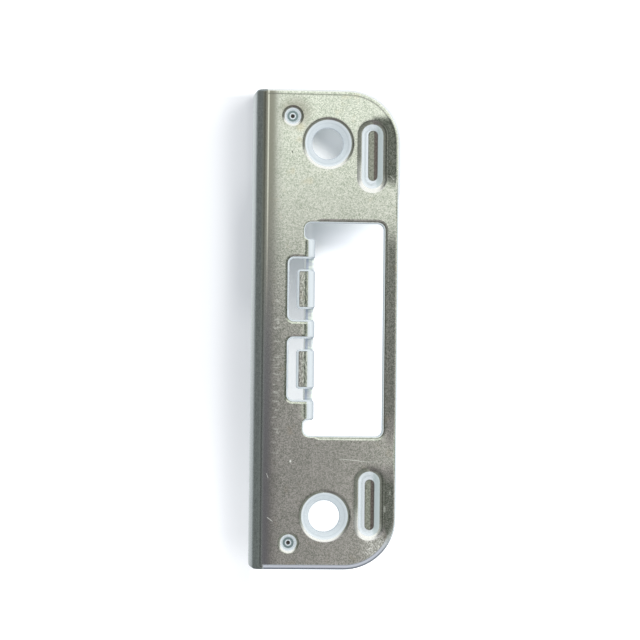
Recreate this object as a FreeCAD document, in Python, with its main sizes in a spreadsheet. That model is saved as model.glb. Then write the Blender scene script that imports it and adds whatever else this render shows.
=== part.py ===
import FreeCAD, Part
import os
import Sketcher

# Angle strike plate of pressed and zinc plated steel sheet, folded from one blank.
# X runs to the right seen from the front, Y runs back into the door frame, Z runs up.
# The origin lies midway between the two screw holes, on the back of the face.

document = FreeCAD.newDocument("strike_plate")

sizes = [
    ("plate_height", 90.0, "height of the face and of the flange"),
    ("plate_width", 27.0, "width of the face, from the flange's outer side to the free edge"),
    ("sheet_thickness", 1.5, "thickness of the steel sheet"),
    ("corner_radius", 9.8, "round of the two corners at the free edge"),
    ("bend_inside_radius", 0.6, "inside radius of both folds"),
    ("flange_depth", 10.0, "depth of the flange, from the front of the face"),
    ("flange_corner_radius", 1.5, "round of the flange's two back corners"),
    ("opening_height", 40.0, "height of the latch opening"),
    ("bar_width", 2.75, "width of the narrow bar beside the latch opening"),
    ("opening_corner_radius", 1.2, "round of the opening's corners"),
    ("lip_face_distance", 11.4, "from the flange's outer side to the side of the lip that the latch meets"),
    ("lip_relief", 3.0, "gap from each end of the lip to the end of the opening"),
    ("lip_depth", 9.0, "depth of the lip, from the front of the face"),
    ("lip_root_radius", 0.8, "round where the lip leaves the face"),
    ("lip_corner_radius", 1.0, "round of the lip's two back corners"),
    ("slot_bridge", 3.5, "metal left between the slots of the two adjusting tabs"),
    ("slot_margin", 3.75, "metal left between a slot and the end of the lip"),
    ("tab_reach", 3.45, "from the lip's latch side to the end of a tab"),
    ("tab_corner_radius", 0.6, "round of a tab's corners"),
    ("slot_arm", 2.05, "width of the slot above and below a tab"),
    ("slot_gap", 1.55, "width of the slot beside a tab's end"),
    ("slot_corner_radius", 0.9, "round of the slot's outer corners"),
    ("slot_depth", 4.0, "how far the slots run into the lip, from the front of the face"),
    ("slot_end_radius", 0.6, "round of the slot's ends in the lip"),
    ("screw_end_distance", 10.0, "from the end of the face to the middle of a screw hole"),
    ("screw_hole_diameter", 5.9, "clear hole for a countersunk wood screw"),
    ("countersink_diameter", 8.8, "width of the screw head's cone at the front"),
    ("screw_boss_diameter", 8.2, "width of the pressed ring behind a screw hole"),
    ("screw_boss_crest_diameter", 7.7, "width of that ring at its crest"),
    ("screw_boss_height", 0.4, "height of that ring"),
    ("bead_edge_margin", 3.125, "from the free edge to the side of an oblong bead"),
    ("bead_screw_margin", 1.925, "from the screw head's cone to the side of a bead"),
    ("bead_end_margin", 6.3, "from the end of the face to the end of a bead"),
    ("bead_length", 12.1, "length of a bead at the front"),
    ("bead_depth", 1.0, "depth of a bead"),
    ("bead_wall", 1.0, "width of the sloping wall round a bead's flat floor"),
    ("bead_ridge_height", 0.8, "height of the ridge behind a bead"),
    ("bead_ridge_wall", 0.55, "width of the sloping wall round the ridge's flat crest"),
    ("dimple_flange_distance", 6.75, "from the flange's outer side to the middle of a round dimple"),
    ("dimple_end_distance", 5.0, "from the end of the face to the middle of a dimple"),
    ("dimple_diameter", 3.1, "width of a dimple at the front"),
    ("dimple_floor_diameter", 2.1, "width of a dimple's flat ring"),
    ("dimple_depth", 0.6, "depth of a dimple's flat ring"),
    ("dimple_pit_diameter", 0.9, "width of the punch mark in a dimple"),
    ("dimple_pit_depth", 0.4, "depth of that mark below the ring"),
    ("pip_diameter", 3.0, "width of the pip behind a dimple"),
    ("pip_crest_diameter", 2.1, "width of the pip's flat crest"),
    ("pip_height", 0.5, "height of the pip behind a dimple"),
    ("outer_edge_round", 0.6, "soft front edge left by the blanking punch round the outline"),
    ("inner_edge_round", 0.4, "soft front edge round the opening and the lip"),
    ("slot_edge_bevel", 0.35, "bevelled front edge round the slots and the tabs"),
    ("screw_edge_round", 1.0, "soft front edge round the screw holes"),
    ("bead_edge_round", 2.0, "drawn in front edge round the beads"),
    ("dimple_edge_round", 0.9, "drawn in front edge round the dimples"),
]

places = [
    ("bend_outside_radius", "=bend_inside_radius + sheet_thickness"),
    ("middle", "=0"),
    ("back", "=0"),
    ("front", "=-sheet_thickness"),
    ("face_right", "=plate_width / 2"),
    ("face_top", "=plate_height / 2"),
    ("face_bottom", "=-plate_height / 2"),
    ("flange_outer", "=-plate_width / 2"),
    ("flange_inner", "=flange_outer + sheet_thickness"),
    ("flange_bend_start", "=flange_outer + bend_outside_radius"),
    ("flange_root", "=flange_bend_start + bend_inside_radius"),
    ("flange_end", "=front + flange_depth"),
    ("opening_right", "=face_right - bar_width"),
    ("opening_top", "=opening_height / 2"),
    ("opening_bottom", "=-opening_height / 2"),
    ("lip_face", "=flange_outer + lip_face_distance"),
    ("lip_inner", "=lip_face - sheet_thickness"),
    ("lip_bend_start", "=lip_face - bend_outside_radius"),
    ("lip_root", "=lip_bend_start - bend_inside_radius"),
    ("lip_end", "=front + lip_depth"),
    ("lip_clear", "=lip_face + bend_outside_radius"),
    ("lip_top", "=opening_top - lip_relief"),
    ("lip_fold_height", "=2 * lip_top + 2 * lip_root_radius"),
    ("lip_cut_top", "=lip_top + 2 * lip_root_radius"),
    ("tab_end", "=lip_face - tab_reach"),
    ("slot_left", "=tab_end - slot_gap"),
    ("slot_top", "=lip_top - slot_margin"),
    ("slot_bottom", "=slot_bridge / 2"),
    ("tab_top", "=slot_top - slot_arm"),
    ("tab_bottom", "=slot_bottom + slot_arm"),
    ("slot_end", "=front + slot_depth"),
    ("screw_height", "=face_top - screw_end_distance"),
    ("screw_hole_radius", "=screw_hole_diameter / 2"),
    ("countersink_radius", "=countersink_diameter / 2"),
    ("countersink_end", "=front + countersink_radius - screw_hole_radius"),
    ("screw_boss_radius", "=screw_boss_diameter / 2"),
    ("screw_boss_crest_radius", "=screw_boss_crest_diameter / 2"),
    ("screw_hole_end", "=screw_boss_height + sheet_thickness"),
    ("bead_edge_side", "=face_right - bead_edge_margin"),
    ("bead_screw_side", "=countersink_radius + bead_screw_margin"),
    ("bead_across", "=(bead_edge_side + bead_screw_side) / 2"),
    ("bead_right", "=bead_edge_side - bead_across"),
    ("bead_left", "=-bead_right"),
    ("bead_middle", "=face_top - bead_end_margin - bead_length / 2"),
    ("bead_straight", "=bead_length - 2 * bead_right"),
    ("bead_upper_end", "=bead_middle + bead_straight / 2"),
    ("bead_lower_end", "=bead_middle - bead_straight / 2"),
    ("bead_floor_right", "=bead_right - bead_wall"),
    ("bead_floor_left", "=-bead_floor_right"),
    ("bead_floor", "=front + bead_depth"),
    ("crest_right", "=bead_right - bead_ridge_wall"),
    ("crest_left", "=-crest_right"),
    ("dimple_across", "=flange_outer + dimple_flange_distance"),
    ("dimple_height", "=face_top - dimple_end_distance"),
    ("dimple_radius", "=dimple_diameter / 2"),
    ("dimple_floor_radius", "=dimple_floor_diameter / 2"),
    ("dimple_floor", "=front + dimple_depth"),
    ("dimple_pit_radius", "=dimple_pit_diameter / 2"),
    ("dimple_pit_floor", "=dimple_floor + dimple_pit_depth"),
    ("pip_radius", "=pip_diameter / 2"),
    ("pip_crest_radius", "=pip_crest_diameter / 2"),
]

sheet = document.addObject("Spreadsheet::Sheet", "Sizes")
for row, (alias, value, meaning) in enumerate(sizes, start=1):
    sheet.set("A%d" % row, str(value))
    sheet.setAlias("A%d" % row, alias)
    sheet.set("B%d" % row, meaning)
for row, (alias, formula) in enumerate(places, start=1):
    sheet.set("C%d" % row, formula)
    sheet.setAlias("C%d" % row, alias)
document.recompute()


def size(alias):
    return float(sheet.get(alias))


def bind(thing, name, alias):
    thing.setExpression(name, "Sizes." + alias)


body = document.addObject("PartDesign::Body", "strike_plate")
body.Label = "strike_plate"


def origin_plane(role):
    for feature in body.Origin.OriginFeatures:
        if feature.Role == role:
            return feature


def new_sketch(name, role, offset=()):
    sketch = body.newObject("Sketcher::SketchObject", name)
    sketch.AttachmentSupport = [(origin_plane(role), "")]
    sketch.MapMode = "FlatFace"
    for axis, alias in offset:
        bind(sketch, "AttachmentOffset.Base." + axis, alias)
    document.recompute()
    return sketch


def hold(sketch, kind, geometry, point, alias):
    index = sketch.addConstraint(Sketcher.Constraint(kind, -1, 1, geometry, point, size(alias)))
    bind(sketch, "Constraints[%d]" % index, alias)


def hold_radius(sketch, geometry, alias):
    index = sketch.addConstraint(Sketcher.Constraint("Radius", geometry, size(alias)))
    bind(sketch, "Constraints[%d]" % index, alias)


def near_end(sketch, geometry, point):
    gaps = [(sketch.getPoint(geometry, end) - point).Length for end in (1, 2)]
    return 1 if gaps[0] < gaps[1] else 2


def squared_outline(sketch, corners):
    """Closed outline of level and upright lines; a corner is (across, along, round or None)."""
    count = len(corners)
    spots = [FreeCAD.Vector(size(across), size(along), 0) for across, along, rounding in corners]
    radii = [size(rounding) if rounding else 0 for across, along, rounding in corners]
    lines = []
    for i in range(count):
        j = (i + 1) % count
        heading = (spots[j] - spots[i]).normalize()
        start = spots[i] + heading * radii[i]
        end = spots[j] - heading * radii[j]
        line = sketch.addGeometry(Part.LineSegment(start, end))
        upright = corners[i][0] == corners[j][0]
        sketch.addConstraint(Sketcher.Constraint("Vertical" if upright else "Horizontal", line))
        hold(sketch, "DistanceX" if upright else "DistanceY", line, 1, corners[i][0 if upright else 1])
        lines.append((line, start, end))
    for i in range(count):
        before = lines[i - 1]
        after = lines[i]
        rounding = corners[i][2]
        if rounding is None:
            sketch.addConstraint(Sketcher.Constraint("Coincident", before[0], 2, after[0], 1))
            continue
        middle = before[2] + after[1] - spots[i]
        crown = middle + (spots[i] - middle).normalize() * radii[i]
        arc = sketch.addGeometry(Part.Arc(before[2], crown, after[1]))
        first = near_end(sketch, arc, before[2])
        sketch.addConstraint(Sketcher.Constraint("Tangent", before[0], 2, arc, first))
        sketch.addConstraint(Sketcher.Constraint("Tangent", after[0], 1, arc, 3 - first))
        hold_radius(sketch, arc, rounding)


def pointed_outline(sketch, corners):
    """Closed outline through corners given as (across, along)."""
    count = len(corners)
    spots = [FreeCAD.Vector(size(across), size(along), 0) for across, along in corners]
    lines = [sketch.addGeometry(Part.LineSegment(spots[i], spots[(i + 1) % count])) for i in range(count)]
    for i in range(count):
        sketch.addConstraint(Sketcher.Constraint("Coincident", lines[i - 1], 2, lines[i], 1))
        hold(sketch, "DistanceX", lines[i], 1, corners[i][0])
        hold(sketch, "DistanceY", lines[i], 1, corners[i][1])


def feature(kind, name, sketch):
    made = body.newObject("PartDesign::" + kind, name)
    made.Profile = sketch
    sketch.Visibility = False
    return made


def done(made):
    body.Tip = made
    document.recompute()
    if "Invalid" in made.State or "Error" in made.State:
        raise RuntimeError("%s did not build: %s" % (made.Name, made.State))
    return made


def mirrored(name, originals):
    made = body.newObject("PartDesign::Mirrored", name)
    made.Originals = originals
    made.MirrorPlane = (origin_plane("XY_Plane"), [""])
    return done(made)


def turned(kind, name, sketch):
    made = feature(kind, name, sketch)
    made.ReferenceAxis = (sketch, ["V_Axis"])
    made.Angle = 360.0
    return done(made)


# Face with its latch opening, cut from flat sheet.
face_sketch = new_sketch("face_outline", "XZ_Plane")
squared_outline(face_sketch, [
    ("flange_bend_start", "face_bottom", None),
    ("face_right", "face_bottom", "corner_radius"),
    ("face_right", "face_top", "corner_radius"),
    ("flange_bend_start", "face_top", None),
])
squared_outline(face_sketch, [
    ("lip_bend_start", "opening_bottom", "opening_corner_radius"),
    ("opening_right", "opening_bottom", "opening_corner_radius"),
    ("opening_right", "opening_top", "opening_corner_radius"),
    ("lip_bend_start", "opening_top", "opening_corner_radius"),
])
face = feature("Pad", "face", face_sketch)
bind(face, "Length", "sheet_thickness")
done(face)

# Flange folded back along the whole left edge.
flange_sketch = new_sketch("flange_section", "XY_Plane")
squared_outline(flange_sketch, [
    ("flange_outer", "front", "bend_outside_radius"),
    ("flange_root", "front", None),
    ("flange_root", "back", None),
    ("flange_inner", "back", "bend_inside_radius"),
    ("flange_inner", "flange_end", None),
    ("flange_outer", "flange_end", None),
])
flange = feature("Pad", "flange", flange_sketch)
flange.SideType = "Symmetric"
bind(flange, "Length", "plate_height")
done(flange)

# Lip folded back along the left side of the opening, where the latch bears.
lip_sketch = new_sketch("lip_section", "XY_Plane")
squared_outline(lip_sketch, [
    ("lip_root", "front", None),
    ("lip_face", "front", "bend_outside_radius"),
    ("lip_face", "lip_end", None),
    ("lip_inner", "lip_end", None),
    ("lip_inner", "back", "bend_inside_radius"),
    ("lip_root", "back", None),
])
lip = feature("Pad", "lip", lip_sketch)
lip.SideType = "Symmetric"
bind(lip, "Length", "lip_fold_height")
done(lip)

lip_end_sketch = new_sketch("lip_end_relief", "XZ_Plane", [("z", "sheet_thickness")])
squared_outline(lip_end_sketch, [
    ("lip_bend_start", "lip_top", "lip_root_radius"),
    ("lip_clear", "lip_top", None),
    ("lip_clear", "lip_cut_top", None),
    ("lip_bend_start", "lip_cut_top", None),
])
lip_end_cut = feature("Pocket", "lip_end_cut", lip_end_sketch)
bind(lip_end_cut, "Length", "lip_depth")
done(lip_end_cut)

# Slots round each adjusting tab, over the fold and a little way down the lip.
slot_sketch = new_sketch("tab_slot", "XZ_Plane", [("z", "sheet_thickness")])
squared_outline(slot_sketch, [
    ("slot_left", "slot_bottom", "slot_corner_radius"),
    ("lip_clear", "slot_bottom", None),
    ("lip_clear", "tab_bottom", None),
    ("tab_end", "tab_bottom", "tab_corner_radius"),
    ("tab_end", "tab_top", "tab_corner_radius"),
    ("lip_clear", "tab_top", None),
    ("lip_clear", "slot_top", None),
    ("slot_left", "slot_top", "slot_corner_radius"),
])
slot = feature("Pocket", "tab_slot_cut", slot_sketch)
bind(slot, "Length", "bend_outside_radius")
done(slot)

slot_end_sketch = new_sketch("tab_slot_ends", "YZ_Plane", [("z", "lip_face")])
for low, high in (("slot_bottom", "tab_bottom"), ("tab_top", "slot_top")):
    squared_outline(slot_end_sketch, [
        ("back", low, None),
        ("slot_end", low, "slot_end_radius"),
        ("slot_end", high, "slot_end_radius"),
        ("back", high, None),
    ])
slot_ends = feature("Pocket", "tab_slot_end_cut", slot_end_sketch)
bind(slot_ends, "Length", "bend_outside_radius")
done(slot_ends)

folded = mirrored("folded_blank", [lip_end_cut, slot, slot_ends])


tolerance = size("sheet_thickness") / 1000


def same(value, alias):
    return abs(value - size(alias)) < tolerance


def dressed(kind, name, chosen, measure, alias):
    base = body.Tip
    names = []
    for number, edge in enumerate(base.Shape.Edges, start=1):
        if chosen(edge):
            names.append("Edge%d" % number)
    made = body.newObject("PartDesign::" + kind, name)
    made.Base = (base, names)
    bind(made, measure, alias)
    return done(made)


def rounded(name, chosen, alias):
    return dressed("Fillet", name, chosen, "Radius", alias)


def bevelled(name, chosen, alias):
    return dressed("Chamfer", name, chosen, "Size", alias)


def flange_corner(edge):
    box = edge.BoundBox
    level = same(box.YMin, "flange_end") and same(box.YMax, "flange_end")
    return level and box.ZLength < tolerance and (same(box.ZMax, "face_top") or same(box.ZMin, "face_bottom"))


def lip_corner(edge):
    box = edge.BoundBox
    level = same(box.YMin, "lip_end") and same(box.YMax, "lip_end")
    return level and box.ZLength < tolerance and same(abs(box.ZMax), "lip_top")


rounded("flange_corners", flange_corner, "flange_corner_radius")
rounded("lip_corners", lip_corner, "lip_corner_radius")


def on_show_side(side):
    """True for the side of the sheet that faced the blanking punch: the front, the folds and the walls."""
    surface = side.Surface
    if isinstance(surface, Part.Cylinder):
        return abs(surface.Axis.z) > 0.5 and same(surface.Radius, "bend_outside_radius")
    if not isinstance(surface, Part.Plane):
        return False
    if abs(surface.Axis.y) > 0.5:
        return same(surface.Position.y, "front")
    if abs(surface.Axis.x) > 0.5:
        return same(surface.Position.x, "flange_outer") or same(surface.Position.x, "lip_face")
    return False


def cut_edge(edge):
    sides = body.Tip.Shape.ancestorsOfType(edge, Part.Face)
    return [on_show_side(side) for side in sides].count(True) == 1


def on_outline(edge):
    box = edge.BoundBox
    upright = same(box.ZMax, "face_top") or same(box.ZMin, "face_bottom")
    return cut_edge(edge) and (upright or same(box.XMax, "face_right") or same(box.XMin, "flange_outer"))


def on_slot(edge):
    box = edge.BoundBox
    heights = sorted([abs(box.ZMin), abs(box.ZMax)])
    within = heights[0] > size("slot_bottom") - tolerance and heights[1] < size("slot_top") + tolerance
    return within and cut_edge(edge)


def round_opening(edge):
    return cut_edge(edge) and not on_outline(edge) and not on_slot(edge)


rounded("outer_soft_edge", on_outline, "outer_edge_round")
rounded("inner_soft_edge", round_opening, "inner_edge_round")
bevelled("slot_soft_edge", on_slot, "slot_edge_bevel")

# Screw holes pressed to a cone, with a low ring pushed out behind.
screw_place = [("z", "screw_height")]
boss_sketch = new_sketch("screw_boss_section", "XY_Plane", screw_place)
pointed_outline(boss_sketch, [
    ("middle", "back"),
    ("screw_boss_radius", "back"),
    ("screw_boss_crest_radius", "screw_boss_height"),
    ("middle", "screw_boss_height"),
])
boss = turned("Revolution", "screw_boss", boss_sketch)

hole_sketch = new_sketch("screw_hole_section", "XY_Plane", screw_place)
pointed_outline(hole_sketch, [
    ("middle", "front"),
    ("countersink_radius", "front"),
    ("screw_hole_radius", "countersink_end"),
    ("screw_hole_radius", "screw_hole_end"),
    ("middle", "screw_hole_end"),
])
hole = turned("Groove", "screw_hole", hole_sketch)

# Oblong beads pressed into the face beside the screw holes, each with its ridge behind.


def oblong(name, turn_kind, run_kind, near, far):
    """A straight run and two round ends, with sides that slope from near to far."""
    near_left, near_right, near_level = near
    far_left, far_right, far_level = far
    made = []
    for end in ("upper_end", "lower_end"):
        sketch = new_sketch(name + "_" + end, "XY_Plane", [("x", "bead_across"), ("z", "bead_" + end)])
        pointed_outline(sketch, [
            ("middle", near_level),
            (near_right, near_level),
            (far_right, far_level),
            ("middle", far_level),
        ])
        made.append(turned(turn_kind, name + "_" + end + "_turned", sketch))
    sketch = new_sketch(name + "_run", "XY_Plane", [("x", "bead_across"), ("z", "bead_middle")])
    pointed_outline(sketch, [
        (near_left, near_level),
        (near_right, near_level),
        (far_right, far_level),
        (far_left, far_level),
    ])
    run = feature(run_kind, name + "_straight", sketch)
    run.SideType = "Symmetric"
    bind(run, "Length", "bead_straight")
    made.append(done(run))
    return made


ridge = oblong("ridge", "Revolution", "Pad", ("bead_left", "bead_right", "back"),
               ("crest_left", "crest_right", "bead_ridge_height"))
bead = oblong("bead", "Groove", "Pocket", ("bead_left", "bead_right", "front"),
              ("bead_floor_left", "bead_floor_right", "bead_floor"))

# Round dimples near the flange's corners, each with a punch mark in front and a pip behind.
dimple_place = [("x", "dimple_across"), ("z", "dimple_height")]
pip_sketch = new_sketch("pip_section", "XY_Plane", dimple_place)
pointed_outline(pip_sketch, [
    ("middle", "back"),
    ("pip_radius", "back"),
    ("pip_crest_radius", "pip_height"),
    ("middle", "pip_height"),
])
pip = turned("Revolution", "pip", pip_sketch)

dimple_sketch = new_sketch("dimple_section", "XY_Plane", dimple_place)
pointed_outline(dimple_sketch, [
    ("middle", "front"),
    ("dimple_radius", "front"),
    ("dimple_floor_radius", "dimple_floor"),
    ("dimple_pit_radius", "dimple_floor"),
    ("middle", "dimple_pit_floor"),
])
dimple = turned("Groove", "dimple", dimple_sketch)

mirrored("lower_pressings", [boss, hole] + ridge + bead + [pip, dimple])


def rim_within(edge, across, along, half_width, half_height):
    box = edge.BoundBox
    flat = same(box.YMin, "front") and same(box.YMax, "front")
    beside = abs(box.XMin - across) < half_width + tolerance and abs(box.XMax - across) < half_width + tolerance
    high = max(abs(abs(box.ZMin) - along), abs(abs(box.ZMax) - along)) < half_height + tolerance
    return flat and beside and high


def screw_rim(edge):
    reach = size("countersink_radius")
    return rim_within(edge, size("middle"), size("screw_height"), reach, reach)


def bead_rim(edge):
    return rim_within(edge, size("bead_across"), size("bead_middle"), size("bead_right"), size("bead_length") / 2)


def dimple_rim(edge):
    reach = size("dimple_radius")
    return rim_within(edge, size("dimple_across"), size("dimple_height"), reach, reach)


rounded("screw_soft_edge", screw_rim, "screw_edge_round")
rounded("bead_soft_edge", bead_rim, "bead_edge_round")
rounded("dimple_soft_edge", dimple_rim, "dimple_edge_round")

document.recompute()
for thing in document.Objects:
    if "Invalid" in thing.State or "Error" in thing.State:
        raise RuntimeError("%s is in a bad state: %s" % (thing.Name, thing.State))
shape = body.Shape
if shape.isNull() or not shape.isValid() or len(shape.Solids) != 1:
    raise RuntimeError("the strike plate is not one sound solid")

os.makedirs("parts", exist_ok=True)
shape.exportStep("parts/strike_plate.step")
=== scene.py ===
"""Zinc plated strike plate, seen from the front as it lies on a pale floor."""

import collections
import functools
import math

import bpy
from mathutils import Matrix, Vector


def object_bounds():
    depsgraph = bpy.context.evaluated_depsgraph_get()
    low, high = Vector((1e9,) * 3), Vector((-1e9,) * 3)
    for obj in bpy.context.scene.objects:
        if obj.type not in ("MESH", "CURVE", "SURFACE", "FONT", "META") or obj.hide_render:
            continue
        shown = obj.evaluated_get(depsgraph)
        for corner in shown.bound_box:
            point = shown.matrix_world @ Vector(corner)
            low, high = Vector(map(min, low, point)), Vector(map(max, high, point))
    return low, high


MM = 0.001

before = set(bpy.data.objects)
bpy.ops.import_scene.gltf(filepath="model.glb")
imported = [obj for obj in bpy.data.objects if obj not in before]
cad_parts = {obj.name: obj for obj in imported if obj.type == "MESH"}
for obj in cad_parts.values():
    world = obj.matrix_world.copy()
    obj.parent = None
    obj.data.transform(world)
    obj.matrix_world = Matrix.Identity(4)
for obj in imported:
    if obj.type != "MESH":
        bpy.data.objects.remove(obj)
cad_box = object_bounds()
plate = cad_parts["strike_plate"]
scene = bpy.context.scene
scene.view_settings.view_transform = "Standard"


class Wire:
    """A node's output that takes part in sums: each step of a sum adds one Math node."""

    def __init__(self, finish, socket):
        self.finish = finish
        self.socket = socket

    def other(self, name):
        """Another output of the same node."""
        return Wire(self.finish, self.socket.node.outputs[name])

    def math(self, operation, *terms):
        return self.finish.node("ShaderNodeMath", {"operation": operation}, dict(enumerate(terms)))

    def __add__(self, term):
        return self.math("ADD", self, term)

    def __radd__(self, term):
        return self.math("ADD", term, self)

    def __sub__(self, term):
        return self.math("SUBTRACT", self, term)

    def __rsub__(self, term):
        return self.math("SUBTRACT", term, self)

    def __mul__(self, term):
        return self.math("MULTIPLY", self, term)

    def __rmul__(self, term):
        return self.math("MULTIPLY", term, self)

    def __neg__(self):
        return self.math("MULTIPLY", self, -1)

    def __abs__(self):
        return self.math("ABSOLUTE", self)

    def least(self, term):
        return self.math("MINIMUM", self, term)

    def most(self, term):
        return self.math("MAXIMUM", self, term)

    def length(self, term):
        """Length of the way that goes self along one axis and term along the other."""
        return self.math("SQRT", self * self + term * term)

    def rise(self, start, end):
        """0 at start and before it, 1 at end and past it, with a soft step between them."""
        limits = {"Value": self, "From Min": start, "From Max": end}
        return self.finish.node("ShaderNodeMapRange", {"interpolation_type": "SMOOTHSTEP"}, limits)

    def span(self, start, end, soft):
        """1 between start and end, 0 outside them."""
        return self.rise(start - soft, start + soft) * self.rise(end + soft, end - soft)


def strongest(masks):
    """The highest of several masks at each spot."""
    return functools.reduce(Wire.most, masks)


class Finish:
    """The nodes of a material or of the world."""

    def __init__(self, tree):
        self.tree = tree
        tree.nodes.clear()

    def node(self, kind, settings=None, sockets=None, out=0):
        """A new node: its settings come first, then its sockets take values or links."""
        made = self.tree.nodes.new(kind)
        for name, value in (settings or {}).items():
            setattr(made, name, value)
        for name, value in (sockets or {}).items():
            if isinstance(value, Wire):
                self.tree.links.new(value.socket, made.inputs[name])
            else:
                made.inputs[name].default_value = value
        return Wire(self, made.outputs[out]) if made.outputs else None

    def vector(self, operation, *terms):
        return self.node("ShaderNodeVectorMath", {"operation": operation}, dict(enumerate(terms)))

    def blend(self, share, first, second):
        """A colour between two, by share."""
        sockets = {0: share, 6: first, 7: second}
        return self.node("ShaderNodeMix", {"data_type": "RGBA"}, sockets, 2)

    def layers(self, colour, rows):
        """A colour with others laid over it in turn, each by its share."""
        for share, over in rows:
            colour = self.blend(share, colour, over)
        return colour


def new_finish(name, kind=Finish):
    material = bpy.data.materials.new(name)
    material.use_nodes = True
    return material, kind(material.node_tree)


# Pressings and cuts of the plate in millimetres: the middle, half the width and height, and the corner
# round. Each lies mirrored above and below the plate's middle. The outline's middle is on the flange, so
# that only its right corners count.
Oblong = collections.namedtuple("Oblong", "across height half_width half_height corner")
OUTLINE = Oblong(-13.5, 0, 27, 45, 9.8)
OPENING = Oblong(4.325, 0, 6.425, 20, 1.2)
TAB_SLOT = Oblong(-4.6, 7.5, 2.5, 5.75, 0.9)
TAB = Oblong(-3.8, 7.5, 1.75, 3.7, 0.6)
SCREW_HOLE = Oblong(0, 35, 4.4, 4.4, 4.4)
BEAD = Oblong(8.35, 32.65, 2.025, 6.05, 2.025)
BEAD_FLOOR = Oblong(8.55, 32.85, 0.90, 4.75, 0.90)
DIMPLE = Oblong(-6.75, 40, 1.55, 1.55, 1.55)

# How far the rims round the pressings reach, and the places of the lip, the fold and the flange.
BEAD_RIM = 1.5
SCREW_HOLE_RIM = 0.9
DIMPLE_RIM = 0.6
LIP_LEFT = -3.4
LIP_RIGHT = -1.9
LIP_END = 17.0
FOLD_START = -11.4
FLANGE_SIDE = -13.5

# Marks of use on the face in millimetres: start, end, half the width and how strongly it shows.
LIGHT_MARKS = [
    ((2.78, -24.30), (5.83, -24.50), 0.12, 0.45),
    ((5.83, -24.50), (7.53, -24.77), 0.12, 0.45),
    ((7.53, -24.77), (9.78, -24.75), 0.11, 0.30),
    ((-6.55, -24.70), (-6.55, -24.84), 0.24, 0.9),
    ((-10.75, -35.30), (-9.83, -36.00), 0.11, 0.6),
    ((-11.00, -27.10), (-10.70, -27.90), 0.11, 0.5),
    ((11.30, -33.20), (11.30, -34.00), 0.26, 0.35),
    ((12.30, -30.40), (12.20, -30.80), 0.26, 0.25),
    ((11.80, 29.00), (12.50, 28.30), 0.11, 0.5),
    ((5.20, -33.00), (5.05, -35.20), 0.14, 0.2),
]
DARK_MARKS = [
    ((-6.80, 33.36), (-6.80, 33.20), 0.18, 0.8),
    ((-6.40, 31.05), (-6.30, 31.00), 0.14, 0.5),
]
# Painted shade: a brown halo above and to the right of the upper dimple.
DIMPLE_HALO_PLACE = (-6.3, 40.7)
GOLD_STAIN_PLACE = (-5.3, 37.9)
# Place of the painted glints, a warm highlight near the lower right corner.
GLINTS_PLACE = (9.4, -40.4)

# Colours of the grained zinc, its stain, its marks and glints, and painted shade and highlights.
GRAIN_DARK = (0.385, 0.465, 0.345, 1)
GRAIN_PALE = (0.955, 1.0, 0.865, 1)
YELLOW_CLOUD = (0.80, 0.74, 0.50, 1)
DIMPLE_HALO_SHADE = (0.26, 0.24, 0.18, 1)
GOLD_STAIN = (0.90, 0.80, 0.48, 1)
LIGHT_MARK_AND_GLINT = (0.94, 0.96, 0.88, 1)
DARK_MARK = (0.06, 0.06, 0.05, 1)
THIN_SHADE_LINE = (0.15, 0.16, 0.135, 1)
RIM_SHADE = (0.27, 0.27, 0.24, 1)
RIM_HIGHLIGHT = (1.0, 1.0, 0.97, 1)

# Colours of the fold, the flange and the lip, with painted shade, reflection and highlight at the fold and
# flange.
FOLD_SHADE = (0.34, 0.35, 0.31, 1)
COOL_FOLD_SHADE = (0.375, 0.415, 0.415, 1)
BROWN_FOLD_SHADE = (0.275, 0.28, 0.215, 1)
BEND_SHADE_DARK = (0.16, 0.185, 0.18, 1)
BEND_SHADE_PALE = (0.40, 0.44, 0.43, 1)
FLANGE_REFLECTION_DARK = (0.56, 0.62, 0.61, 1)
FLANGE_REFLECTION_PALE = (0.88, 0.94, 0.92, 1)
CREASE_HIGHLIGHT = (0.94, 0.97, 0.82, 1)
LIP_GREY = (0.42, 0.46, 0.42, 1)
TAB_STREAK = (0.22, 0.24, 0.21, 1)

# Colours of the burnished metal, the bead floors and the dimples.
BURNISHED = (0.69, 0.745, 0.765, 1)
TURNED_LINE = (0.36, 0.42, 0.46, 1)
# Painted shade on steep walls and throats, and on the beads' right walls.
WALL_SHADE = (0.40, 0.46, 0.52, 1)
BEAD_RIGHT_WALL_SHADE = (0.42, 0.50, 0.48, 1)
SLOT_END_BLUE = (0.48, 0.55, 0.68, 1)
SLOT_END_GREEN = (0.88, 0.96, 0.86, 1)
# Painted shade on the lower edge with a painted highlight line, and a painted highlight on the upper edge.
LOWER_EDGE_SHADE = (0.17, 0.185, 0.215, 1)
LOWER_EDGE_HIGHLIGHT = (0.52, 0.55, 0.60, 1)
UPPER_EDGE_HIGHLIGHT = (0.80, 0.81, 0.75, 1)
# Bead floors: painted shade in the recess, darker on the right half and at the foot of the walls.
BEAD_LEFT_DARK = (0.11, 0.12, 0.09, 1)
BEAD_LEFT_PALE = (0.38, 0.40, 0.32, 1)
BEAD_RIGHT_DARK = (0.055, 0.045, 0.035, 1)
BEAD_RIGHT_PALE = (0.16, 0.14, 0.12, 1)
BEAD_FLOOR_EDGE_SHADE = (0.05, 0.05, 0.045, 1)
DIMPLE_RING = (0.17, 0.23, 0.23, 1)
# Painted shade in the dimples' pits.
PIT_SHADE = (0.05, 0.045, 0.04, 1)


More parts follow.
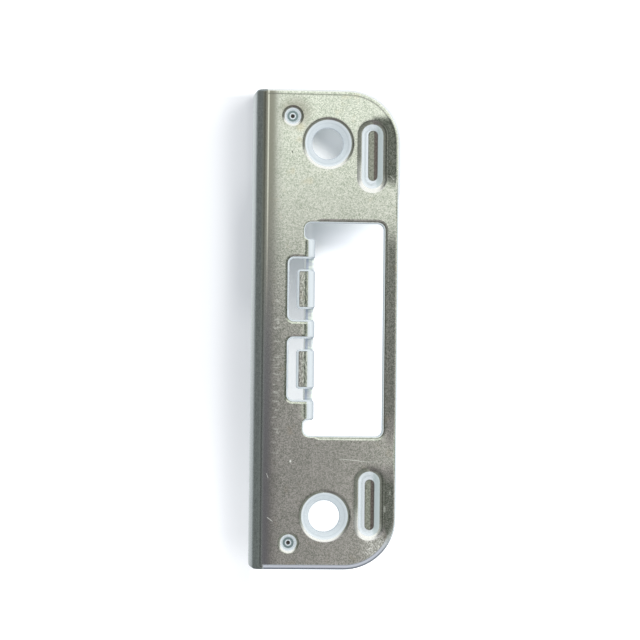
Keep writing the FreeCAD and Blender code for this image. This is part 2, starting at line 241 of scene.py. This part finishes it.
class Plating(Finish):
    """The plate's finish: places on the plate in millimetres, masks of its features and their colours."""

    def __init__(self, tree):
        super().__init__(tree)
        place = self.node("ShaderNodeTexCoord", out="Object")
        self.spot = self.vector("MULTIPLY", place, (1 / MM, 1 / MM, 1 / MM))
        self.across = self.node("ShaderNodeSeparateXYZ", {}, {0: self.spot}, "X")
        self.depth = self.across.other("Y")
        self.height = self.across.other("Z")
        self.beside = abs(self.height)
        self.upper_half = self.height.rise(-1, 1)
        normal = self.node("ShaderNodeSeparateXYZ", {}, {0: place.other("Normal")}, "X")
        self.sideways = abs(normal)
        self.facing = -normal.other("Y")
        self.front = self.facing.rise(0.2, 0.6)

        self.outline = self.outside(OUTLINE)
        self.opening = self.outside(OPENING)
        self.tab_slot = self.outside(TAB_SLOT)
        self.tab = self.outside(TAB)
        self.on_tab = self.tab.rise(0.05, -0.15)
        self.screw_hole = self.outside(SCREW_HOLE)
        self.bead = self.outside(BEAD)
        self.dimple = self.outside(DIMPLE)

        self.speck = self.noise(5.0, 3.0).rise(0.35, 0.65)
        self.fleck = self.cells(4.8)
        self.streaks = self.noise(1.0, 3.0, (4.0, 4.0, 1.2))
        self.find_burnished()
        self.find_marks()

    def noise(self, scale, detail=2.0, stretch=(1.0, 1.0, 1.0)):
        drawn = self.vector("MULTIPLY", self.spot, stretch)
        return self.node("ShaderNodeTexNoise", {}, {"Vector": drawn, "Scale": scale, "Detail": detail})

    def cells(self, scale):
        colour = self.node("ShaderNodeTexVoronoi", {}, {"Vector": self.spot, "Scale": scale}, "Color")
        return self.node("ShaderNodeSeparateColor", {}, {0: colour})

    def outside(self, form):
        """Distance outside an oblong, below 0 inside it."""
        out_x = abs(self.across - form.across) - (form.half_width - form.corner)
        out_z = abs(self.beside - form.height) - (form.half_height - form.corner)
        return out_x.most(0).length(out_z.most(0)) + out_x.most(out_z).least(0) - form.corner

    def above_middle(self, form):
        """Height above the middle of the upper or the lower of two mirrored forms."""
        return self.height - (self.upper_half * 2 - 1) * form.height

    def away_from(self, place):
        """Distance from a place on the face."""
        return (self.across - place[0]).length(self.height - place[1])

    def mark(self, start, end, half_width, strength):
        """A short straight mark with soft sides."""
        run = Vector(end) - Vector(start)
        from_start = self.across - start[0]
        above_start = self.height - start[1]
        along = (from_start * run.x + above_start * run.y) * (1 / run.length_squared)
        along = along.most(0).least(1)
        gap = (from_start - along * run.x).length(above_start - along * run.y)
        return gap.rise(half_width, half_width * 0.3) * strength

    def find_burnished(self):
        """Burnished surfaces: cones, walls of the beads and dimples, the lip's fold and the cut edges."""
        across, facing, front = self.across, self.facing, self.front
        self.off_fold = across.rise(FOLD_START - 0.3, FOLD_START + 0.1)
        on_lip = across.span(LIP_LEFT - 0.2, LIP_RIGHT + 0.2, 0.05)
        self.lip_face = self.sideways.rise(0.6, 0.9) * on_lip * self.depth.rise(1.6, 2.6)
        self.cut_edge = abs(facing).rise(0.93, 0.80) * self.off_fold * (1 - self.lip_face)
        self.slot_end = self.depth.rise(0.3, 0.6)
        self.bead_floor_gap = self.outside(BEAD_FLOOR)
        self.bead_floor = self.bead_floor_gap.rise(0.10, -0.10) * front
        self.lower_edge = self.outline.rise(-1.0, -0.88) * self.height.rise(-36, -42)
        self.lower_edge = self.lower_edge * self.off_fold * front
        recess = self.screw_hole.least(self.bead).least(self.dimple).rise(0.10, -0.08)
        lip_fold = across.rise(LIP_LEFT - 0.35, LIP_LEFT) * across.rise(LIP_RIGHT + 0.3, LIP_RIGHT)
        lip_fold = lip_fold * self.beside.rise(LIP_END + 0.1, LIP_END - 0.1)
        pale_front = recess.most(lip_fold).most(self.slot_end) * front
        self.burnished = self.cut_edge.most(self.lower_edge).most(pale_front) * (1 - self.bead_floor)

    def find_marks(self):
        """Marks of use: scratches and rubs beside the fold, rubs on the tabs with painted sheen, and painted
        glints at a lower corner.
        """
        rubs = self.noise(0.7, 2.0, (0.7, 1.0, 2.8)).rise(0.53, 0.66)
        rubs = rubs * self.across.span(-10.0, -8.8, 0.3) * self.height.span(-24, 10, 4) * 0.31
        # Painted glints: a warm speckled highlight near the lower right corner.
        glints = self.away_from(GLINTS_PLACE).rise(3.6, 0.8) * self.speck * self.fleck * 0.9
        # Rubs on the tabs with painted sheen, stronger on the lower tab.
        tab_rubs_and_sheen = self.streaks.rise(0.48, 0.60) * self.on_tab * (0.42 - self.upper_half * 0.22)
        scratches = strongest(self.mark(*row) for row in LIGHT_MARKS)
        self.light_marks_and_glints = strongest((scratches, rubs, glints, tab_rubs_and_sheen)) * self.front
        self.dark_marks = strongest(self.mark(*row) for row in DARK_MARKS) * self.front

    def grain(self):
        """Grain of the plating, with yellow clouds here and there, a gold stain and a brown halo of painted
        shade by a dimple.
        """
        cloud = self.noise(0.16, 3.0).rise(0.3, 0.7)
        tone = self.speck * 0.55 + self.fleck * 0.50 + cloud * 0.12 + 0.06
        yellow_cloud = self.noise(0.42, 2.0).rise(0.60, 0.78)
        # Painted shade round the upper dimple.
        dimple_halo_shade = self.away_from(DIMPLE_HALO_PLACE).rise(4.2, 1.2) * self.front
        gold_stain = self.away_from(GOLD_STAIN_PLACE).rise(1.3, 0.2) * self.front
        return self.layers(self.blend(tone, GRAIN_DARK, GRAIN_PALE), (
            (yellow_cloud * 0.3, YELLOW_CLOUD),
            (dimple_halo_shade * 0.55, DIMPLE_HALO_SHADE),
            (gold_stain * 0.28, GOLD_STAIN),
        ))

    def fold_colour(self):
        """Painted shade on the fold, and a painted reflection on the flange that gets paler with depth and
        towards the top.
        """
        tone = 0.4 * self.fleck + 0.6 * self.noise(1.1, 2.0, (3.0, 3.0, 0.5))
        bend = self.blend(tone, BEND_SHADE_DARK, BEND_SHADE_PALE)
        flange = self.blend(tone, FLANGE_REFLECTION_DARK, FLANGE_REFLECTION_PALE)
        on_flange = self.facing.rise(0.30, 0.05) * (self.depth + self.height * 0.03).rise(0.6, 7.5)
        return self.blend(on_flange, bend, flange)

    def over_folds(self, colour):
        """The face darkens towards the fold in painted shade, cooler below and browner above, with a painted
        highlight line where the fold starts.
        """
        across, height, front = self.across, self.height, self.front
        # Painted shade on the face towards the fold, cooler below and browner above.
        fold_shade = across.rise(-7.8, FOLD_START - 0.4) * (1 - self.burnished)
        cool_fold_shade = across.rise(-9.9, -11.2) * height.rise(20, -10) * front
        brown_fold_shade = across.rise(-9.3, -10.7) * height.rise(-4, 40) * front
        # Painted shade on the bend and painted reflection on the flange behind it.
        fold = across.rise(FOLD_START + 0.05, FOLD_START - 0.2) * self.facing.rise(0.975, 0.82)
        # A painted highlight line where the fold starts, brighter towards the top.
        crease = across.span(FOLD_START - 0.06, FOLD_START + 0.18, 0.08) * height.rise(-4, 26)
        tab_streak = self.streaks.rise(0.56, 0.40) * self.on_tab * front
        return self.layers(colour, (
            (fold_shade * 0.85, FOLD_SHADE),
            (cool_fold_shade * 0.65, COOL_FOLD_SHADE),
            (brown_fold_shade * 0.82, BROWN_FOLD_SHADE),
            (fold * 0.95, self.fold_colour()),
            (crease * 0.75, CREASE_HIGHLIGHT),
            (self.lip_face * 0.5, LIP_GREY),
            (tab_streak * 0.45, TAB_STREAK),
        ))

    def over_rims(self, colour):
        """Painted shade round the upper sides of the pressings' rims and painted highlights round their
        lower sides.
        """
        rims = ((BEAD, self.bead, BEAD_RIM), (SCREW_HOLE, self.screw_hole, SCREW_HOLE_RIM),
                (DIMPLE, self.dimple, DIMPLE_RIM))
        rim_shades = []
        rim_highlights = []
        for form, gap, reach in rims:
            aside = (self.across - form.across) * (form.half_height / form.half_width)
            down = self.above_middle(form) * -0.95 - aside * 0.2
            low_side = down.rise(0.2 * form.half_height, 0.85 * form.half_height)
            rim_shades.append(gap.rise(reach, reach * 0.2) * (1 - low_side))
            rim_highlights.append(gap.rise(reach * 0.65, reach * 0.5) * low_side)
        return self.layers(colour, (
            (strongest(rim_shades) * self.front * 0.7, RIM_SHADE),
            (strongest(rim_highlights) * self.front * 0.8, RIM_HIGHLIGHT),
        ))

    def over_marks(self, colour):
        """Thin lines of painted shade just inside the upper outline and round the cuts, and the marks of use
        and painted glints.
        """
        rim_shade_line = self.outline.span(-0.98, -0.74, 0.10) * self.off_fold * self.height.rise(28, 42)
        cut_shade_line = self.opening.least(self.tab_slot).span(0.28, 0.44, 0.08)
        cut_shade_line = cut_shade_line.most(self.tab.span(-0.46, -0.30, 0.08)) * self.front
        return self.layers(colour, (
            ((rim_shade_line * 0.6).most(cut_shade_line * 0.75), THIN_SHADE_LINE),
            (self.light_marks_and_glints, LIGHT_MARK_AND_GLINT),
            (self.dark_marks, DARK_MARK),
        ))

    def burnished_colour(self):
        """Pale, with a turned line in the cones, and painted shade and highlights on walls, throats and
        edges.
        """
        across, front = self.across, self.front
        turned_line = self.screw_hole.span(-0.62, -0.50, 0.05)
        throat = self.screw_hole.rise(-1.30, -1.44)
        # Painted shade on the steep walls, the throats and the beads' right walls.
        wall = abs(self.facing).rise(0.62, 0.35) * self.off_fold
        right_wall_shade = self.bead.rise(0.1, -0.1) * across.rise(8.9, 9.5)
        inner_part = across.rise(LIP_LEFT + 0.2, LIP_LEFT + 0.4)
        blue_part = self.slot_end * (1 - inner_part) * front
        green_patch = self.noise(1.4, 2.0).rise(0.44, 0.56) * 0.8 + 0.1
        green_patch = green_patch * self.slot_end * inner_part * front
        # Painted shade along the lower edge with a painted highlight line in it, and a painted highlight on
        # the upper edge.
        lower_highlight_line = self.outline.span(-0.82, -0.36, 0.08)
        upper_edge_highlight = self.outline.rise(-0.8, -0.6) * self.height.rise(20, 32) * front
        return self.layers(BURNISHED, (
            (turned_line * 0.30, TURNED_LINE),
            (wall.most(throat) * 0.8, WALL_SHADE),
            (right_wall_shade * 0.6, BEAD_RIGHT_WALL_SHADE),
            (blue_part * 0.7, SLOT_END_BLUE),
            (green_patch, SLOT_END_GREEN),
            (self.lower_edge, self.blend(lower_highlight_line, LOWER_EDGE_SHADE, LOWER_EDGE_HIGHLIGHT)),
            (upper_edge_highlight * 0.8, UPPER_EDGE_HIGHLIGHT),
        ))

    def bead_floor_colour(self):
        """Dull scaly floors of the beads in painted shade, darker on the side of the free edge and at the
        foot of the walls.
        """
        tone = self.noise(1.0, 3.0, (6.0, 6.0, 2.6)).rise(0.36, 0.64) * 0.5 + self.fleck * 0.5
        left_floor = self.blend(tone, BEAD_LEFT_DARK, BEAD_LEFT_PALE)
        right_floor = self.blend(tone, BEAD_RIGHT_DARK, BEAD_RIGHT_PALE)
        floor_edge_shade = self.bead_floor_gap.rise(-0.22, -0.08)
        colour = self.blend(self.across.rise(8.68, 8.82), left_floor, right_floor)
        return self.blend(floor_edge_shade * 0.6, colour, BEAD_FLOOR_EDGE_SHADE)

    def leaning_normal(self):
        """Shallow slopes that the press leaves beside the beads, on the narrow bar, the lip and the tabs."""
        across, beside = self.across, self.beside
        beads = (across - BEAD.across + self.above_middle(BEAD) * 0.25).rise(0.6, 2.4)
        beads = beads * self.bead.rise(0.6, 0.9) * 0.31
        beads = beads * beside.rise(24.6, 29.5) * beside.rise(41.6, 39.0)
        bar = across.rise(11.2, 11.7) * beside.rise(23.0, 14.5) * 0.27
        lip = across.rise(-5.6, -3.9) * across.rise(-3.2, -3.5) * beside.rise(LIP_END, LIP_END - 0.5)
        lip = lip * self.tab_slot.rise(0.2, 0.5) * 0.13
        tabs = self.on_tab * across.rise(-3.3, -3.6) * (across + 5.1) * 0.13
        lean = (lip + tabs - beads.most(bar)) * self.front * (1 - self.cut_edge)
        lean = self.node("ShaderNodeCombineXYZ", {}, {"X": lean})
        normal = self.node("ShaderNodeNewGeometry", out="Normal")
        return self.vector("NORMALIZE", self.vector("ADD", normal, lean))

    def relief(self):
        """Edges drawn in round the cuts and pressings, and the grain itself."""
        cuts = (self.opening.least(self.tab_slot) - 0.33).most(0).least(0.42) * 0.22
        beads = self.bead.most(0).least(0.85) * 0.20
        round_forms = self.screw_hole.least(self.dimple).most(0).least(0.5) * 0.22
        grain = self.speck * 0.0012 * (1 - self.burnished)
        height = (cuts + beads + round_forms + grain) * MM
        sockets = {"Height": height, "Distance": 1.0, "Strength": 1.0, "Normal": self.leaning_normal()}
        return self.node("ShaderNodeBump", {}, sockets)


def zinc_plating():
    material, zinc = new_finish("zinc_plating", Plating)
    dimple_ring = zinc.dimple.span(-0.95, -0.52, 0.06) * zinc.front
    # Painted shade in the dimples' pits.
    pit_shade = zinc.dimple.rise(-1.10, -1.22) * zinc.front
    colour = zinc.over_marks(zinc.over_rims(zinc.over_folds(zinc.grain())))
    colour = zinc.layers(colour, (
        (zinc.burnished, zinc.burnished_colour()),
        (zinc.bead_floor, zinc.bead_floor_colour()),
        (dimple_ring, DIMPLE_RING),
        (pit_shade, PIT_SHADE),
    ))
    dull = zinc.bead_floor.most(pit_shade)
    flange_side = zinc.across.rise(FLANGE_SIDE + 0.2, FLANGE_SIDE + 0.05)
    fold_edge = zinc.across.rise(FOLD_START + 0.1, FOLD_START - 0.15) * zinc.facing.rise(0.86, 0.94)
    metal = 1 - zinc.burnished * 0.75 - dull * 0.7 - flange_side * 0.4
    metal = metal - zinc.light_marks_and_glints * 0.6 * (1 - zinc.burnished)
    # Less metal where the fold starts darkens it as painted shade, more so towards the top.
    metal = metal - fold_edge * (0.06 + zinc.height.rise(-10, 30) * 0.11)
    surface = zinc.node("ShaderNodeBsdfPrincipled", {}, {
        "Base Color": colour,
        "Metallic": metal,
        "Roughness": 0.16 + zinc.speck * 0.07 + dull * 0.2,
        "Normal": zinc.relief(),
    })
    zinc.node("ShaderNodeOutputMaterial", {}, {"Surface": surface})
    return material


plate.data.materials.clear()
plate.data.materials.append(zinc_plating())

# Camera, a little to the left of square on, with the plate's top leaning a little to the right.
VIEW_ACROSS = math.radians(-5.9)
VIEW_UP = math.radians(-1.5)
VIEW_ROLL = math.radians(0.62)
VIEW_DISTANCE = 550 * MM
VIEW_POINT = Vector((-1.1, 0.0, 1.78)) * MM
PIXELS_PER_MM = 5.318
PICTURE_WIDTH = 640

back = Vector((
    math.sin(VIEW_ACROSS) * math.cos(VIEW_UP),
    -math.cos(VIEW_ACROSS) * math.cos(VIEW_UP),
    math.sin(VIEW_UP),
))
level = back.cross(Vector((0, 0, -1))).normalized()
rise = back.cross(level)
right = math.cos(VIEW_ROLL) * level + math.sin(VIEW_ROLL) * rise
up = math.cos(VIEW_ROLL) * rise - math.sin(VIEW_ROLL) * level
turned = Matrix((right, up, back)).transposed().to_4x4()
camera_data = bpy.data.cameras.new("camera")
camera_data.sensor_width = 36.0
camera_data.lens = camera_data.sensor_width * PIXELS_PER_MM * VIEW_DISTANCE / MM / PICTURE_WIDTH
camera = bpy.data.objects.new("camera", camera_data)
camera.matrix_world = Matrix.Translation(VIEW_POINT + back * VIEW_DISTANCE) @ turned
scene.collection.objects.link(camera)
scene.camera = camera


def board(name, width, height, place, toward, material):
    """A flat board round a place, facing toward a direction."""
    mesh = bpy.data.meshes.new(name)
    x, y = width / 2, height / 2
    mesh.from_pydata([(-x, -y, 0), (x, -y, 0), (x, y, 0), (-x, y, 0)], [], [(0, 1, 2, 3)])
    mesh.materials.append(material)
    made = bpy.data.objects.new(name, mesh)
    faced = Vector(toward).to_track_quat("Z", "Y").to_matrix().to_4x4()
    made.matrix_world = Matrix.Translation(place) @ faced
    scene.collection.objects.link(made)
    return made


def floor_finish():
    """Pale paper with painted light that only the camera sees, less of it where painted shadow lies beside
    the flange and in the upper cuts.
    """
    material, floor = new_finish("floor_paper")
    place = floor.node("ShaderNodeNewGeometry", out="Position")
    spot = floor.vector("MULTIPLY", place, (1 / MM, 1 / MM, 1 / MM))
    across = floor.node("ShaderNodeSeparateXYZ", {}, {0: spot}, "X")
    height = across.other("Z")

    # Painted shadow on the floor seen through the screw hole, the opening and the slots, and beside the
    # flange.
    in_hole = (across * 0.6 + (height - SCREW_HOLE.height) * 0.8).rise(-3.5, 1.0)
    in_opening = height.rise(11.5, 17.0) * across.rise(13, 1)
    in_slots = height.rise(-9, 16)
    right_of_lip = across.rise(-2.6, -1.8)
    in_cuts = right_of_lip * in_opening * 0.96 + (1 - right_of_lip) * in_slots * 0.82
    upper = height.rise(24, 26)
    shade = upper * in_hole + (1 - upper) * in_cuts
    beside_flange = height.span(4, 25, 6) * across.rise(-19, -14.5) * 0.10
    beside_flange = beside_flange + across.rise(-15.2, -13.7) * height.rise(0, 30) * 0.05

    under_plate = across.rise(-13.5, -10.5)
    # Painted light: the floor is brighter towards the bottom, far to the left, and past the plate's top and
    # right side.
    past_corner = (across - 3.7).most(0).length((height - 35.2).most(0)).rise(9.0, 11.0)
    lower = height.rise(-5, -45) * 0.13 + height.rise(-38, -46) * 0.12 + across.rise(-15, -22) * 0.16
    glow = (0.085 - beside_flange * (1 - under_plate)).most(0) + lower
    glow = glow + past_corner * 0.45 + under_plate * (1 - shade) * 0.62
    seen = floor.node("ShaderNodeLightPath", out="Is Camera Ray")
    glow_colour = floor.blend(glow, (0, 0, 0, 1), (1, 1, 1, 1))
    glow_colour = floor.blend(under_plate * 0.045, glow_colour, (0, 0.4, 1, 1))
    glow_colour = floor.blend(seen, (0, 0, 0, 1), glow_colour)
    glowing = floor.node("ShaderNodeEmission", {}, {"Color": glow_colour, "Strength": 1.0})
    paper = floor.node("ShaderNodeBsdfDiffuse", {}, {"Color": (0.705, 0.713, 0.728, 1)})
    lit = floor.node("ShaderNodeAddShader", {}, {0: paper, 1: glowing})
    clear = floor.node("ShaderNodeBsdfTransparent")
    surface = floor.node("ShaderNodeMixShader", {}, {0: place.other("Backfacing"), 1: lit, 2: clear})
    floor.node("ShaderNodeOutputMaterial", {}, {"Surface": surface})
    return material


# The floor lies just behind the flange's free edge and the back of the face's right side.
FLOOR_WIDTH = 1.2
FLOOR_GAP = 0.2 * MM
low, high = cad_box
floor_facing = Vector((-high.y, low.x - high.x, 0)).normalized()
floor_place = Vector((low.x, high.y, 0)) - floor_facing * FLOOR_GAP
floor = board("floor", FLOOR_WIDTH, FLOOR_WIDTH, floor_place, floor_facing, floor_finish())
floor.visible_diffuse = False
floor.visible_glossy = False
floor.visible_shadow = False


def card_finish():
    """Brown grey card that fades out upwards and to both sides."""
    material, card = new_finish("dark_card")
    place = card.node("ShaderNodeNewGeometry", out="Position")
    across = card.node("ShaderNodeSeparateXYZ", {}, {0: place}, "X")
    height = across.other("Z")
    cover = height.rise(58 * MM, 0) * 0.93 + height.rise(2 * MM, -24 * MM) * 0.07
    cover = cover * across.span(-50 * MM, 42 * MM, 9 * MM)
    to_right = across.rise(-4 * MM, 22 * MM)
    shade = card.blend(to_right, (0.266, 0.239, 0.265, 1), (0.376, 0.336, 0.368, 1))
    grey = card.node("ShaderNodeEmission", {}, {"Color": shade, "Strength": 1.0})
    clear = card.node("ShaderNodeBsdfTransparent")
    surface = card.node("ShaderNodeMixShader", {}, {0: cover, 1: clear, 2: grey})
    card.node("ShaderNodeOutputMaterial", {}, {"Surface": surface})
    return material


# The card stands in front of the plate and shows only in its metal.
CARD_WIDTH = 0.2
CARD_HEIGHT = 0.4
CARD_PLACE = Vector((0, -150, -130)) * MM
card = board("front_card", CARD_WIDTH, CARD_HEIGHT, CARD_PLACE, (0, 1, 0), card_finish())
card.visible_camera = False
card.visible_diffuse = False
card.visible_shadow = False


def studio_world():
    """White studio; metal also sees dark walls to both sides and below, and grey behind the plate."""
    world = bpy.data.worlds.new("studio")
    world.use_nodes = True
    studio = Finish(world.node_tree)
    heading = studio.node("ShaderNodeTexCoord", out="Generated")
    side = studio.node("ShaderNodeSeparateXYZ", {}, {0: heading}, "X")
    fore = -side.other("Y")
    climb = side.other("Z")
    turn = side.math("ARCTAN2", side, fore) * (180 / math.pi)

    left_dark = turn.rise(-4, -26) * turn.rise(-140, -115) * climb.rise(0.75, 0.45)
    right_dark = turn.rise(16, 28) * turn.rise(75, 60) * climb.rise(0.42, 0.18)
    low_dark = climb.rise(-0.02, -0.25) * climb.rise(-0.85, -0.60) * fore.rise(0.3, 0.6)
    behind = turn.rise(-55, -75).most(turn.rise(95, 125))
    back_grey = studio.blend(climb.rise(-0.75, 0.45), (0.28, 0.30, 0.31, 1), (0.78, 0.82, 0.84, 1))
    wall_grey = studio.blend(fore.rise(0.70, 0.84), (0.42, 0.43, 0.42, 1), (0.105, 0.11, 0.105, 1))
    tint = studio.layers((1, 1, 1, 1), (
        (behind, back_grey),
        (strongest((left_dark, right_dark, low_dark)), wall_grey),
    ))

    path = studio.node("ShaderNodeLightPath", out="Is Camera Ray")
    shown = path.most(path.other("Is Transmission Ray"))
    soft = studio.node("ShaderNodeBackground", {}, {"Color": (0.94, 0.965, 1.0, 1), "Strength": 0.93})
    white = studio.node("ShaderNodeBackground", {}, {"Color": (1, 1, 1, 1), "Strength": 1.0})
    walls = studio.node("ShaderNodeBackground", {}, {"Color": tint, "Strength": 1.0})
    plain = studio.node("ShaderNodeMixShader", {}, {0: shown, 1: soft, 2: white})
    whole = studio.node("ShaderNodeMixShader", {}, {0: path.other("Is Glossy Ray"), 1: plain, 2: walls})
    studio.node("ShaderNodeOutputWorld", {}, {"Surface": whole})
    return world


scene.world = studio_world()


def lamp(name, width, energy, colour, place):
    """A soft lamp that shines at the plate's middle and doesn't show in its metal."""
    data = bpy.data.lights.new(name, "AREA")
    data.size = width
    data.energy = energy
    data.color = colour
    made = bpy.data.objects.new(name, data)
    made.location = place
    made.rotation_euler = (-Vector(place)).to_track_quat("-Z", "Y").to_euler()
    made.visible_glossy = False
    scene.collection.objects.link(made)


lamp("softbox", 0.40, 3.0, (1.0, 0.98, 0.95), (0.45, -0.62, 0.36))
lamp("fill", 0.40, 1.0, (0.96, 0.98, 1.0), (-0.40, -0.62, -0.36))
